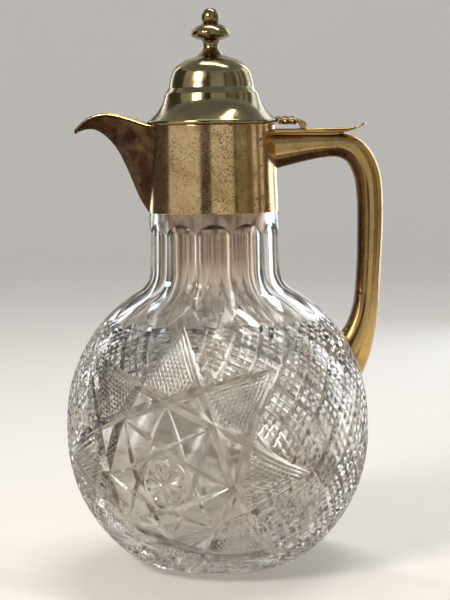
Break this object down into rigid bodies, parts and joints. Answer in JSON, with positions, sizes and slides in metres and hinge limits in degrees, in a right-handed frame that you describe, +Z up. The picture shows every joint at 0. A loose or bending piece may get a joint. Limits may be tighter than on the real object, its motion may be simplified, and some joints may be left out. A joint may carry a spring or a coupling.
{
  "type": "claret jug",
  "caption": "Round cut-glass claret jug with a fluted neck, plated metal collar, beak spout, bracket handle, hinged domed lid and turned finial.",
  "frame": {"origin": "centre of the glass foot, on the surface the jug stands on", "axes": "+Z up along the jug's axis, +X towards the handle, -X towards the spout"},
  "size_m": [0.153, 0.1448, 0.266],
  "materials": {
    "cut_glass": "clear lead crystal, cut and polished",
    "plaster": "matt plaster",
    "collar_plate": "worn plate, pitted and speckled",
    "spout_plate": "worn plate, polished",
    "handle_plate": "worn plate, rubbed smooth",
    "rest_plate": "worn plate, rubbed bright",
    "hinge_metal": "turned brass, dulled",
    "lid_plate": "worn plate, polished",
    "cast_leaf": "cast, dark in the hollows",
    "finial_plate": "turned and polished"
  },
  "bodies": {
    "root": {"glass_body": "cut_glass", "neck_plaster": "plaster", "collar_band": "collar_plate", "collar_seat_ring": "collar_plate", "collar_floor_ring": "collar_plate", "spout_shell": "spout_plate", "handle_tube": "handle_plate", "handle_foot_cap": "handle_plate", "thumb_rest": "rest_plate", "thumb_rest_rivet": "rest_plate", "hinge_knuckles_fixed": "hinge_metal", "hinge_pin": "hinge_metal"},
    "lid": {"lid_shell": "lid_plate", "lid_rim_band": "lid_plate", "lid_locating_ring": "lid_plate", "lid_tab": "lid_plate", "hinge_knuckles_lid": "hinge_metal", "tab_leaf": "cast_leaf", "finial_stem": "finial_plate", "finial_knop": "finial_plate", "finial_ball": "finial_plate", "finial_stud": "hinge_metal", "finial_washer": "hinge_metal", "finial_nut": "hinge_metal"}
  },
  "joints": [
    {"name": "lid_hinge", "type": "hinge", "parent": "root", "child": "lid", "pos_m": [0.0429, 0, 0.2106], "axis": [0, 1, 0], "range_deg": [0, 90]}
  ]
}
